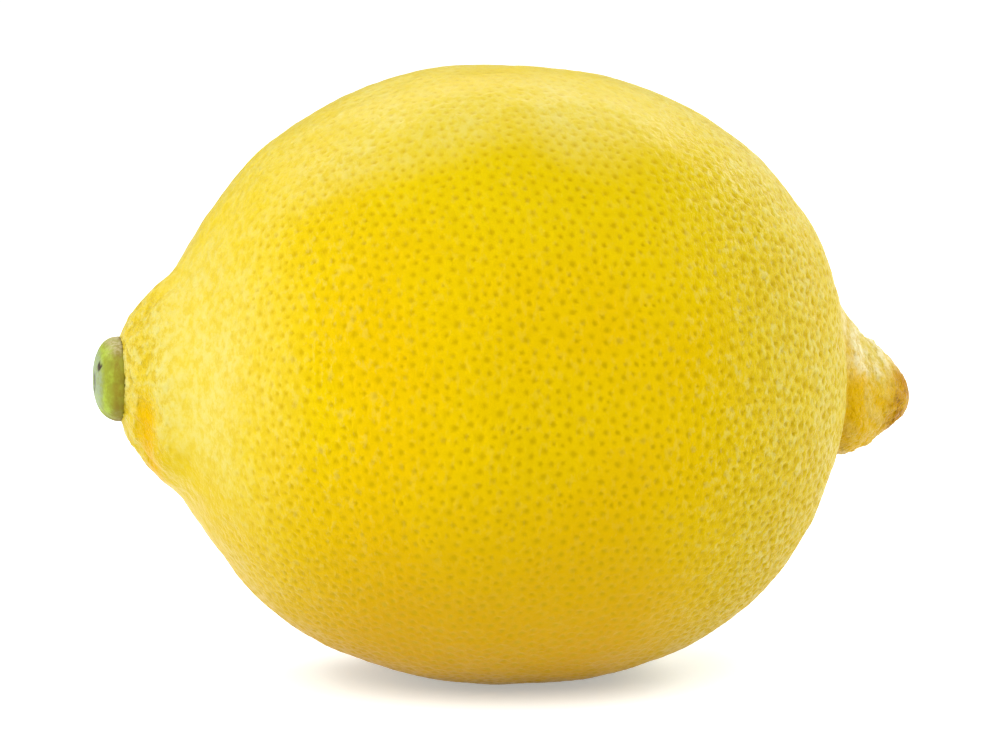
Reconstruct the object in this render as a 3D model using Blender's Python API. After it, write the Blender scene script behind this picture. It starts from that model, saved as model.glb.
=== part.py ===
"""A lemon, as picked, lying on its side.

Two pieces grow apart from each other and are two objects: the fruit, one solid with its neck, its nipple and
its pitted rind, and the stem button, the green calyx that stays on the neck when the fruit is picked.

Both are modelled about the fruit's own axis, which runs along X from the stem end to the tip of the nipple.
An empty carries that axis at its height and slant over the surface that the fruit rests on. The origin is the
centre of the small flat spot underneath.
"""

import bisect
import math
import random

import bmesh
import bpy
from mathutils import Matrix, Vector, noise

MM = 0.001

# Driving dimensions. Places along the axis are measured from the fruit's widest place, +X towards the nipple.
WIDEST_RADIUS = 31.0 * MM
AXIS_SLANT = math.radians(0.45)  # the nipple's end hangs a little lower
DOWN = Matrix.Rotation(-AXIS_SLANT, 3, "Y") @ Vector((0, 0, -1))
SINK = 0.35 * MM  # how much of the round underside the flat spot takes off
BALANCE_X = 0.36 * MM  # the centre of mass along the axis, which the flat spot lies under

# The rind's outline, station by station: (place along the axis, radius).
OUTLINE = [
    (-39.0, 0.0), (-38.8, 2.6), (-38.2, 4.45), (-37.1, 6.0), (-36.1, 7.7), (-34.8, 9.35), (-32.2, 11.7),
    (-28.6, 17.15), (-24.0, 22.7), (-17.0, 27.4), (-8.5, 30.25), (0.4, 31.0), (10.0, 30.1),
    (18.5, 27.15), (25.0, 23.0), (29.4, 17.9), (31.75, 13.7), (33.4, 9.95), (35.2, 7.55),
    (38.2, 5.1), (40.6, 3.4), (42.1, 1.8), (42.6, 0.0),
]  # fmt: skip

# The spine that carries the outline: (place along the axis, rise). It arches a little; the nipple droops.
SPINE = [
    (-40.0, 0.33), (-38.0, 0.33), (-35.5, -0.08), (-30.0, 0.05), (-20.0, 0.2), (-5.0, 0.3), (8.0, 0.0),
    (20.0, -0.3), (29.5, 0.05), (32.4, 0.5), (35.0, -1.3), (37.0, -2.2), (39.0, -2.25), (41.0, -2.5),
    (43.0, -3.0),
]  # fmt: skip

# A furrow rings the nipple's foot, deep under the overhanging shoulder and shallow on top.
FURROW_FROM_TIP = 12.5 * MM
FURROW_WIDTH = 1.1 * MM
FURROW_SHALLOW = 0.2 * MM
FURROW_DEEP = 1.75 * MM
FURROW_FADE = 3  # how fast the deep side gives way to the shallow one
DEEP_SIDE = math.radians(-128)  # about the axis from +Y over +Z, so this faces down and forwards

# The neck swells into a collar round the button. Behind it a shallow furrow runs round the neck on the deep
# side, and moves away from the button underneath.
COLLAR_FROM_STEM = 6.0 * MM
COLLAR_WIDTH = 1.4 * MM
COLLAR_SWELL = 0.35 * MM
NECK_FURROW_FROM_STEM = 7.4 * MM
NECK_FURROW_SLANT = 2.8 * MM
NECK_FURROW_WIDTH = 1.0 * MM
NECK_FURROW_DEPTH = 0.12 * MM

# Uneven growth: broad lumps over the body, and wrinkles that run lengthwise up the neck and the nipple.
LUMP_HEIGHT = 0.38 * MM
LUMP_LENGTH = 17.0 * MM
LUMP_FADE = 0.4 * WIDEST_RADIUS  # no lumps where the fruit is much thinner than this
WRINKLE_HEIGHT = 0.32 * MM
WRINKLES_ROUND = 2.6  # folds for each unit of the noise, so about a dozen round the nipple
WRINKLE_LENGTH = 11.0 * MM
WRINKLE_REACH = 6.6 * MM  # each way along the neck and the nipple from their most wrinkled places
WRINKLED_FROM_TIP = 5.0 * MM
WRINKLED_FROM_STEM = 8.0 * MM
WRINKLE_FADE = 3.0 * MM  # the very ends are smooth within this radius

# Oil glands pit the rind. They are larger than life here, so that the solid can carry them.
PITS = 800
PIT_REACH = 0.36  # of the spacing, to the ring where the rind turns down into the pit
PIT_DEPTH = 0.065  # of the spacing
PIT_LIP = 0.010
PIT_SIDES = 6
PIT_CLEARANCE = 0.6  # of the spacing, to the seat and to the plain tip
CROWDING = 2.6  # how much closer the pits come on the neck and the nipple
END_REACH = 13.0 * MM
SCATTER = 0.27  # of the spacing
GOLDEN_ANGLE = math.pi * (3 - math.sqrt(5))
TIP_STEP = 0.85 * MM  # the tip itself is plain, in rings this far apart
TIP_RINGS = 4
PRESSED_ANGLE = math.radians(20)  # the pits fade within this angle of straight down, where the fruit rests
SEED = 11

# The stem end is a flat seat with a socket in its middle, which the button's core stands in.
SEAT_X = -38.0 * MM
SEAT_MIDDLE = Vector((0.0, 0.33)) * MM  # (Y, Z) from the straight axis, where the spine is there
SEAT_SIDES = 36
SOCKET_RADIUS = 1.55 * MM
SOCKET_DEPTH = 1.40 * MM
GAP = 0.30 * MM

# The button: a low dome, faintly lobed as the calyx was, with the ringed scar of the stalk on its top.
BUTTON_RADIUS = 4.15 * MM
BUTTON_FACE_X = -41.15 * MM
BUTTON_SIDES = 60
BUTTON_STEPS = 12
RIM_HEIGHT = 0.3 * MM  # of the widest place over the back
RIM_TUCK = math.radians(50)  # how far the edge turns in under the rim
SCAR = ((1.55, 0.12), (1.30, 0.40), (0.95, 0.28), (0.50, 0.36), (0.0, 0.46))  # (radius, depth), in mm
LOBES = 5
LOBE_SWELL = 0.08 * MM
LOBE_NOTCH = 0.12 * MM
NOTCH_WIDTH = 0.55
LOBES_FROM_RADIUS = 0.4 * BUTTON_RADIUS
LOBES_FULL_RADIUS = 0.9 * BUTTON_RADIUS
DENT_HEIGHT = 0.12 * MM
DENT_LENGTH = 1.6 * MM

SHARP_ANGLE = math.radians(50)
SAMPLES = 600  # steps in which an outline is read


def smooth_step(value):
    """0 below 0, 1 above 1, and a smooth rise between them."""
    value = min(1.0, max(0.0, value))
    return value * value * (3 - 2 * value)


def bump(distance, width):
    """A rounded hump, 1 at no distance."""
    return math.exp(-((distance / width) ** 2))


def catmull_rom(before, start, end, after, t):
    """A point on the smooth curve from start to end."""
    return 0.5 * (
        2 * start
        + (end - before) * t
        + (2 * before - 5 * start + 4 * end - after) * t * t
        + (3 * start - before - 3 * end + after) * t**3
    )


def spine_rise(x):
    """How far the spine lies above the straight axis."""
    knots = [Vector(knot) * MM for knot in SPINE]
    knots = [2 * knots[0] - knots[1]] + knots + [2 * knots[-1] - knots[-2]]
    span = 1
    while span < len(knots) - 3 and x > knots[span + 1].x:
        span += 1
    t = (x - knots[span].x) / (knots[span + 1].x - knots[span].x)
    return catmull_rom(*knots[span - 1 : span + 3], min(1.0, max(0.0, t))).y


class Outline:
    """The rind's outline as a smooth curve: place, slope and globe latitude by distance from the stem end."""

    def __init__(self, stations):
        knots = [Vector(station) * MM for station in stations]
        mirrored = [Vector((knots[1].x, -knots[1].y))] + knots + [Vector((knots[-2].x, -knots[-2].y))]
        spans = len(knots) - 1
        curve = []
        for step in range(SAMPLES + 1):
            place = step / SAMPLES * spans
            span = min(int(place), spans - 1)
            curve.append(catmull_rom(*mirrored[span : span + 4], place - span))
        self.curve = curve
        self.distance = [0.0]
        for one, other in zip(curve, curve[1:]):
            self.distance.append(self.distance[-1] + (other - one).length)
        self.length = self.distance[-1]
        # Equal steps of latitude on a globe and of growth on the rind keep small shapes true.
        rise = [0.0]
        for step in range(1, SAMPLES + 1):
            radius = max(0.5 * (curve[step].y + curve[step - 1].y), 1e-6)
            rise.append(rise[-1] + (self.distance[step] - self.distance[step - 1]) / radius)
        middle = rise[SAMPLES // 2]
        self.latitude = [2 * math.atan(math.exp(value - middle)) for value in rise]

    def _between(self, column, value):
        step = min(max(bisect.bisect_right(column, value), 1), SAMPLES)
        low, high = column[step - 1], column[step]
        return step, min(1.0, max(0.0, (value - low) / max(high - low, 1e-12)))

    def at(self, distance):
        """(place on the outline, outward normal) at a distance from the stem end."""
        step, share = self._between(self.distance, distance)
        place = self.curve[step - 1].lerp(self.curve[step], share)
        along = (self.curve[min(step + 1, SAMPLES)] - self.curve[max(step - 2, 0)]).normalized()
        return place, Vector((-along.y, along.x))

    def to_latitude(self, distance):
        step, share = self._between(self.distance, distance)
        return self.latitude[step - 1] * (1 - share) + self.latitude[step] * share

    def to_distance(self, latitude):
        step, share = self._between(self.latitude, latitude)
        return self.distance[step - 1] * (1 - share) + self.distance[step] * share


def relief(outline, distance, angle):
    """How far the rind stands out from its plain outline, pits apart."""
    from_tip = outline.length - distance
    place, _ = outline.at(distance)
    deep = 0.5 + 0.5 * math.cos(angle - DEEP_SIDE)
    furrow = FURROW_SHALLOW + (FURROW_DEEP - FURROW_SHALLOW) * deep**FURROW_FADE
    height = -furrow * bump(from_tip - FURROW_FROM_TIP, FURROW_WIDTH)
    height += COLLAR_SWELL * (0.5 + deep) * bump(distance - COLLAR_FROM_STEM, COLLAR_WIDTH)
    neck_furrow = NECK_FURROW_FROM_STEM + NECK_FURROW_SLANT * max(0.0, -math.sin(angle)) ** 4
    height -= NECK_FURROW_DEPTH * deep * bump(distance - neck_furrow, NECK_FURROW_WIDTH)

    around = Vector((math.cos(angle), math.sin(angle)))
    lump_at = Vector((place.x, place.y * around.x, place.y * around.y)) / LUMP_LENGTH
    height += LUMP_HEIGHT * noise.noise(lump_at) * smooth_step(place.y / LUMP_FADE)

    wrinkled = max(
        bump(from_tip - WRINKLED_FROM_TIP, WRINKLE_REACH), bump(distance - WRINKLED_FROM_STEM, WRINKLE_REACH)
    )
    fold_at = Vector((around.x * WRINKLES_ROUND, around.y * WRINKLES_ROUND, distance / WRINKLE_LENGTH))
    folds = 1.3 * noise.noise(fold_at) + 0.7 * noise.noise(fold_at * 2.1)
    return height + WRINKLE_HEIGHT * wrinkled * smooth_step(place.y / WRINKLE_FADE) * folds


def rind_point(outline, distance, angle, lift):
    """A point of the rind: outline and relief, lifted along the normal and strung on the spine."""
    place, normal = outline.at(distance)
    place = place + normal * (relief(outline, distance, angle) + lift)
    return Vector((place.x, place.y * math.cos(angle), place.y * math.sin(angle) + spine_rise(place.x)))


def pit_places(outline):
    """Pits set one after another at the golden angle, as growing tissue sets its organs.

    Each is (distance from the stem end, angle round the axis, spacing to the pits beside it).
    """
    crowding = []
    for step in range(SAMPLES + 1):
        from_end = min(outline.distance[step], outline.length - outline.distance[step])
        closeness = 1 + (CROWDING - 1) * (1 - smooth_step(from_end / END_REACH))
        crowding.append(closeness * outline.curve[step].y)
    count = [0.0]
    for step in range(1, SAMPLES + 1):
        width = outline.distance[step] - outline.distance[step - 1]
        count.append(count[-1] + 0.5 * (crowding[step] + crowding[step - 1]) * width)
    dice = random.Random(SEED)
    places = []
    for pit in range(PITS):
        wanted = (pit + 0.5) / PITS * count[-1]
        step = min(max(bisect.bisect_right(count, wanted), 1), SAMPLES)
        share = (wanted - count[step - 1]) / (count[step] - count[step - 1])
        distance = outline.distance[step - 1] * (1 - share) + outline.distance[step] * share
        radius = max(outline.at(distance)[0].y, 1 * MM)
        spacing = math.sqrt(2 * math.pi * count[-1] / PITS * radius / max(crowding[step], 1e-9))
        distance += dice.uniform(-1, 1) * SCATTER * spacing
        angle = pit * GOLDEN_ANGLE + dice.uniform(-1, 1) * SCATTER * spacing / radius
        places.append((distance, angle, spacing))
    return places


def globe_point(outline, distance, angle):
    """The place on a unit globe whose axis is X, with the stem end at latitude 0."""
    latitude = outline.to_latitude(distance)
    ring = math.sin(latitude)
    return Vector((-math.cos(latitude), ring * math.cos(angle), ring * math.sin(angle)))


def make_rind(outline):
    """The closed rind, with its face over the stem end: netted on a globe, then shaped as the fruit."""
    bm = bmesh.new()
    lifts = {}
    seat_distance = outline.distance[next(i for i, place in enumerate(outline.curve) if place.x > SEAT_X)]

    def add(distance, angle, lift):
        vert = bm.verts.new(globe_point(outline, distance, angle))
        lifts[vert] = (distance, angle, lift)
        return vert

    seat_ring = [add(seat_distance, math.tau * side / SEAT_SIDES, 0.0) for side in range(SEAT_SIDES)]
    add(outline.length, 0.0, 0.0)
    for row in range(1, TIP_RINGS + 1):
        for side in range(6 * row):
            add(outline.length - row * TIP_STEP, math.tau * side / (6 * row), 0.0)
    for distance, angle, spacing in pit_places(outline):
        to_plain_tip = outline.length - TIP_RINGS * TIP_STEP - distance
        if min(distance - seat_distance, to_plain_tip) < PIT_CLEARANCE * spacing:
            continue
        add(distance, angle, -PIT_DEPTH * spacing)
        radius = outline.at(distance)[0].y
        for side in range(PIT_SIDES):
            turn = angle + math.tau * side / PIT_SIDES
            reach = PIT_REACH * spacing
            away = distance + reach * math.cos(turn)
            if away > seat_distance + 0.5 * PIT_CLEARANCE * spacing:
                add(away, angle + reach * math.sin(turn) / radius, PIT_LIP * spacing)
    bmesh.ops.convex_hull(bm, input=bm.verts[:])
    ring = set(seat_ring)
    bmesh.ops.delete(bm, geom=[face for face in bm.faces if ring.issuperset(face.verts)], context="FACES")
    seat = bm.faces.new(seat_ring)

    for vert, (distance, angle, lift) in lifts.items():
        from_down = rind_point(outline, distance, angle, 0).angle(DOWN)
        vert.co = rind_point(outline, distance, angle, lift * smooth_step(from_down / PRESSED_ANGLE))
    for vert in seat_ring:
        vert.co.x = SEAT_X
    bmesh.ops.recalc_face_normals(bm, faces=bm.faces[:])
    return bm, seat


def cut_flat(bm, point, outward):
    """Takes off what lies beyond a plane and closes the cut with one flat face, which it returns."""
    geometry = bm.verts[:] + bm.edges[:] + bm.faces[:]
    cut = bmesh.ops.bisect_plane(
        bm, geom=geometry, plane_co=point, plane_no=outward, clear_outer=True, dist=0.01 * MM
    )
    edges = [item for item in cut["geom_cut"] if isinstance(item, bmesh.types.BMEdge)]
    face = bmesh.ops.contextual_create(bm, geom=edges)["faces"][0]
    for vert in face.verts:
        vert.co += outward * (point - vert.co).dot(outward)
    face.normal_update()
    if face.normal.dot(outward) < 0:
        face.normal_flip()
    return face


def sink_socket(bm, seat):
    """Sinks the core's socket into the flat seat."""
    for radius, depth in ((SOCKET_RADIUS, 0.0), (SOCKET_RADIUS - 0.02 * MM, SOCKET_DEPTH)):
        bmesh.ops.inset_individual(bm, faces=[seat], thickness=0.01 * MM)
        for vert in seat.verts:
            spoke = (vert.co.yz - SEAT_MIDDLE).normalized()
            vert.co = Vector((SEAT_X + depth, *(SEAT_MIDDLE + spoke * radius)))


def make_fruit(outline):
    """The fruit: the rind with its flat resting spot and its stem seat."""
    bm, seat = make_rind(outline)
    sink_socket(bm, seat)
    lowest = max(vert.co.dot(DOWN) for vert in bm.verts)
    spot = cut_flat(bm, DOWN * (lowest - SINK), DOWN)
    height = spot.calc_center_median().dot(DOWN)
    bmesh.ops.triangulate(bm, faces=[face for face in bm.faces if len(face.verts) > 4])
    return bm, height


def button_outline():
    """The button's turned outline, from the end of its core round the rim to the middle of its face."""
    core_radius = SOCKET_RADIUS - GAP
    core_end = SEAT_X + SOCKET_DEPTH - GAP
    back_x = SEAT_X - GAP
    rim_x = back_x - RIM_HEIGHT
    edge_radius = BUTTON_RADIUS * math.cos(RIM_TUCK)
    rows = [(core_end, 0.0), (core_end, core_radius), (back_x, core_radius), (back_x, edge_radius)]
    for step in range(BUTTON_STEPS):
        turn = -RIM_TUCK + (math.pi / 2 + RIM_TUCK) * step / BUTTON_STEPS
        half = (rim_x - BUTTON_FACE_X) if turn > 0 else RIM_HEIGHT
        radius = BUTTON_RADIUS * math.cos(turn)
        if radius > SCAR[0][0] * MM:
            rows.append((rim_x - half * math.sin(turn), radius))
    return rows + [(BUTTON_FACE_X + depth * MM, radius * MM) for radius, depth in SCAR]


def make_button():
    """The button: the outline turned about the axis, then drawn in and out as five faint lobes."""
    bm = bmesh.new()
    verts = [bm.verts.new((x, radius, 0)) for x, radius in button_outline()]
    edges = [bm.edges.new(pair) for pair in zip(verts, verts[1:])]
    bmesh.ops.spin(
        bm,
        geom=verts + edges,
        cent=(0, 0, 0),
        axis=(1, 0, 0),
        angle=math.tau,
        steps=BUTTON_SIDES,
        use_merge=True,
    )
    bmesh.ops.remove_doubles(bm, verts=bm.verts[:], dist=0.001 * MM)
    for vert in bm.verts:
        radius = vert.co.yz.length
        if radius < LOBES_FROM_RADIUS or vert.co.x > SEAT_X - GAP - 0.5 * RIM_HEIGHT:
            continue
        angle = math.atan2(vert.co.z, vert.co.y)
        notch = bump(math.remainder(LOBES * angle - math.pi, math.tau), NOTCH_WIDTH)
        swell = LOBE_SWELL * math.cos(LOBES * angle) - LOBE_NOTCH * notch
        swell += DENT_HEIGHT * noise.noise(vert.co / DENT_LENGTH)
        swell *= smooth_step((radius - LOBES_FROM_RADIUS) / (LOBES_FULL_RADIUS - LOBES_FROM_RADIUS))
        vert.co.yz *= 1 + swell / radius
    bmesh.ops.translate(bm, verts=bm.verts[:], vec=(0, *SEAT_MIDDLE))
    bmesh.ops.recalc_face_normals(bm, faces=bm.faces[:])
    return bm


def add_object(name, bm, material, parent):
    """Puts a finished mesh in the scene, smooth but for its sharp rims."""
    mesh = bpy.data.meshes.new(name)
    bm.to_mesh(mesh)
    bm.free()
    mesh.materials.append(material)
    mesh.shade_smooth()
    mesh.set_sharp_from_angle(angle=SHARP_ANGLE)
    piece = bpy.data.objects.new(name, mesh)
    bpy.context.scene.collection.objects.link(piece)
    piece.parent = parent
    return piece


def plain_material(name, color, roughness):
    """A material of one colour, with no metal in it."""
    material = bpy.data.materials.new(name)
    material.use_nodes = True
    surface = material.node_tree.nodes["Principled BSDF"]
    surface.inputs["Base Color"].default_value = (*color, 1)
    surface.inputs["Roughness"].default_value = roughness
    surface.inputs["Metallic"].default_value = 0.0
    return material


def main():
    for old in list(bpy.data.objects):
        bpy.data.objects.remove(old)
    outline = Outline(OUTLINE)
    fruit, height = make_fruit(outline)
    axis = bpy.data.objects.new("lemon_axis", None)
    bpy.context.scene.collection.objects.link(axis)
    axis.rotation_euler = (0, AXIS_SLANT, 0)
    axis.location = (-BALANCE_X, 0, height)
    add_object("fruit", fruit, plain_material("rind", (0.84, 0.58, 0.012), 0.38), axis)
    add_object("stem_button", make_button(), plain_material("calyx", (0.36, 0.42, 0.07), 0.6), axis)


main()
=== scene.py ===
"""A whole ripe lemon, dressed for its portrait on a pale floor.

The rind and the stem button are built as fine meshes about the fruit's own axis, from the same outline as the
solids of the frame, and stand in for them. Lengths are in metres.
"""

import bisect
import logging
import math
import random
from dataclasses import dataclass, field
from enum import Enum

import bmesh
import bpy
from mathutils import Matrix, Vector, noise


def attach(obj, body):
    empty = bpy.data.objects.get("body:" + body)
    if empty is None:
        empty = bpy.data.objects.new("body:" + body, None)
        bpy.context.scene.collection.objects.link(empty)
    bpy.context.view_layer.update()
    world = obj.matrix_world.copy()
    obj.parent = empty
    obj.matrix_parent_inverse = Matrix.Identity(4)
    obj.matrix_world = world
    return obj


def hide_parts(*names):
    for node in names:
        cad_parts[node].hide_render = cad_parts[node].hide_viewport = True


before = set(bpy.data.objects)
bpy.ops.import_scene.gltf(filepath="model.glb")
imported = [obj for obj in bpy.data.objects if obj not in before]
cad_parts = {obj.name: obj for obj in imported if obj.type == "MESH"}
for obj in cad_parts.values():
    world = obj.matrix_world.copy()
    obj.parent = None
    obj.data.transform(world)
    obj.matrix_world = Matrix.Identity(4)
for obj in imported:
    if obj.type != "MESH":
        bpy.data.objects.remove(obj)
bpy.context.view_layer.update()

log = logging.getLogger("lemon")

MM = 0.001
GOLDEN_ANGLE = math.pi * (3 - math.sqrt(5))
AIM_SHIFT = Vector((-0.1, 0, 0.02)) * MM
NEVER_ZERO = 1e-12

Color = tuple[float, float, float]
Fit = tuple[float, ...]


def smooth_step(value: float) -> float:
    """Rises smoothly from 0 to 1 as value goes from 0 to 1.

    Args:
        value: Any number.

    Returns:
        0 below 0, 1 above 1, and a smooth rise between them.
    """
    value = min(1.0, max(0.0, value))
    return value * value * (3 - 2 * value)


def bump(distance: float, width: float) -> float:
    """A rounded hump.

    Args:
        distance: How far the place is from the hump's top.
        width: The hump's half width, in the same unit.

    Returns:
        1 on the top, and near 0 past twice the width.
    """
    return math.exp(-((distance / width) ** 2))


@dataclass(frozen=True)
class Ramp:
    """A smooth rise from 0 at its start to its top one run on, or one run back where the run is below 0."""

    start: float
    run: float
    top: float = 1.0

    def at(self, value: float) -> float:
        """How high the ramp is, level before its start and past its end."""
        return self.top * smooth_step((value - self.start) / self.run)


@dataclass(frozen=True)
class Bumps:
    """Low noise in a surface, with a finer octave over it where its share isn't 0."""

    height: float
    length: float
    finer_share: float = 0.0
    finer: float = 2.0

    def at(self, place: Vector) -> float:
        """How far the surface stands out at a place."""
        coarse = noise.noise(place / self.length)
        return self.height * (coarse + self.finer_share * noise.noise(place * self.finer / self.length))


def catmull_rom(before: Vector, start: Vector, end: Vector, after: Vector, t: float) -> Vector:
    """Reads a smooth curve through four knots.

    Args:
        before: The knot before the stretch.
        start: The knot where the stretch starts.
        end: The knot where it ends.
        after: The knot after it.
        t: How far along the stretch, from 0 to 1.

    Returns:
        The point on the curve.
    """
    return 0.5 * (
        2 * start
        + (end - before) * t
        + (2 * before - 5 * start + 4 * end - after) * t * t
        + (3 * start - before - 3 * end + after) * t**3
    )


class Mark(Enum):
    """What the points of a mesh are marked with, from 0 to 1, for its finish to read."""

    PIT = "pit"
    CRINKLE = "crinkle"
    GREENISH = "greenish"
    # Painted sheen: a pale painted reflection of the lights on the crown, the neck, the upper side and by the
    # nipple.
    PAINTED_SHEEN = "painted_sheen"
    # The orange-gold of the nipple's end, and painted shade in the furrows, in the nipple's creases and below
    # it.
    AMBER_AND_SHADE = "amber_and_shade"
    # Painted highlight on the nipple's upper side and ridges.
    NIPPLE_HIGHLIGHT = "nipple_highlight"
    TIP = "tip"
    # Painted shade in the crevice round the button.
    CREVICE_SHADE = "crevice_shade"
    SIDE = "side"
    FACE = "face"
    TOP = "top"
    SCAR = "scar"


def mark_layers(bm: bmesh.types.BMesh, *marks: Mark) -> list[bmesh.types.BMLayerItem]:
    """Adds a layer to a mesh for each mark."""
    return [bm.verts.layers.float.new(mark.value) for mark in marks]


@dataclass
class Outline:
    """The rind's outline as a smooth curve, with the spine that it is strung on."""

    stations: tuple[tuple[float, float], ...] = (
        (-39.0, 0.0), (-38.8, 2.6), (-38.2, 4.45), (-37.1, 6.0), (-36.1, 7.7), (-34.8, 9.35), (-32.2, 11.7),
        (-28.6, 17.15), (-24.0, 22.7), (-17.0, 27.4), (-8.5, 30.25), (0.4, 31.0), (10.0, 30.1),
        (18.5, 27.15), (25.0, 23.0), (29.4, 17.9), (31.75, 13.7), (33.4, 9.95), (35.2, 7.55),
        (38.2, 5.1), (40.6, 3.4), (42.05, 1.8), (42.54, 0.0),
    )  # fmt: skip
    spine: tuple[tuple[float, float], ...] = (
        (-40.0, 0.33), (-38.0, 0.33), (-35.5, -0.08), (-30.0, 0.05), (-20.0, 0.2), (-5.0, 0.3), (8.0, 0.0),
        (20.0, -0.3), (29.5, 0.05), (32.4, 0.5), (35.0, -1.3), (37.0, -2.2), (39.0, -2.25), (41.0, -2.5),
        (43.0, -3.0),
    )  # fmt: skip
    samples: int = 900
    least_radius: float = 0.001 * MM

    def __post_init__(self) -> None:
        """Works out the curve, the distance along it and the latitude on a globe that grows as it does."""
        knots = [Vector(station) * MM for station in self.stations]
        knots = [Vector((knots[1].x, -knots[1].y)), *knots, Vector((knots[-2].x, -knots[-2].y))]
        spans = len(knots) - 3
        self.curve: list[Vector] = []
        for step in range(self.samples + 1):
            place = step / self.samples * spans
            span = min(int(place), spans - 1)
            self.curve.append(catmull_rom(*knots[span : span + 4], place - span))
        self.distance = [0.0]
        for one, other in zip(self.curve, self.curve[1:]):
            self.distance.append(self.distance[-1] + (other - one).length)
        self.length = self.distance[-1]
        rise = [0.0]
        for step in range(1, self.samples + 1):
            radius = max(0.5 * (self.curve[step].y + self.curve[step - 1].y), self.least_radius)
            rise.append(rise[-1] + (self.distance[step] - self.distance[step - 1]) / radius)
        middle = rise[self.samples // 2]
        self.latitude = [2 * math.atan(math.exp(value - middle)) for value in rise]
        self.rises = [self._spine_rise(place.x) for place in self.curve]

    def _spine_rise(self, x: float) -> float:
        """How far the spine lies above the straight axis at a place along it."""
        knots = [Vector(knot) * MM for knot in self.spine]
        knots = [2 * knots[0] - knots[1], *knots, 2 * knots[-1] - knots[-2]]
        span = 1
        while span < len(knots) - 3 and x > knots[span + 1].x:
            span += 1
        t = (x - knots[span].x) / (knots[span + 1].x - knots[span].x)
        return catmull_rom(*knots[span - 1 : span + 3], min(1.0, max(0.0, t))).y

    def _between(self, column: list[float], value: float) -> tuple[int, float]:
        """The sample at or after a value in a rising column, and the share of the step up to it."""
        step = min(max(bisect.bisect_right(column, value), 1), self.samples)
        low, high = column[step - 1], column[step]
        return step, min(1.0, max(0.0, (value - low) / max(high - low, NEVER_ZERO)))

    def at(self, distance: float) -> tuple[Vector, Vector, float]:
        """Reads the outline.

        Args:
            distance: How far along the outline, from the stem end.

        Returns:
            The place as (along the axis, radius), the outward normal there, and the spine's rise.
        """
        step, share = self._between(self.distance, distance)
        place = self.curve[step - 1].lerp(self.curve[step], share)
        along = (self.curve[min(step + 1, self.samples)] - self.curve[max(step - 2, 0)]).normalized()
        rise = self.rises[step - 1] * (1 - share) + self.rises[step] * share
        return place, Vector((-along.y, along.x)), rise

    def on_globe(self, distance: float, angle: float) -> Vector:
        """Where a place of the rind lies on a unit globe.

        Args:
            distance: How far along the outline, from the stem end.
            angle: The angle about the axis.

        Returns:
            The place on the globe, whose axis is X with the stem end towards -X.
        """
        step, share = self._between(self.distance, distance)
        latitude = self.latitude[step - 1] * (1 - share) + self.latitude[step] * share
        ring = math.sin(latitude)
        return Vector((-math.cos(latitude), ring * math.cos(angle), ring * math.sin(angle)))

    def from_globe(self, point: Vector) -> tuple[float, float]:
        """The way back from a globe.

        Args:
            point: A place on a unit globe, or near it.

        Returns:
            The distance from the stem end and the angle about the axis.
        """
        unit = point.normalized()
        step, share = self._between(self.latitude, math.acos(min(1.0, max(-1.0, -unit.x))))
        distance = self.distance[step - 1] * (1 - share) + self.distance[step] * share
        return distance, math.atan2(unit.z, unit.y)


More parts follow.
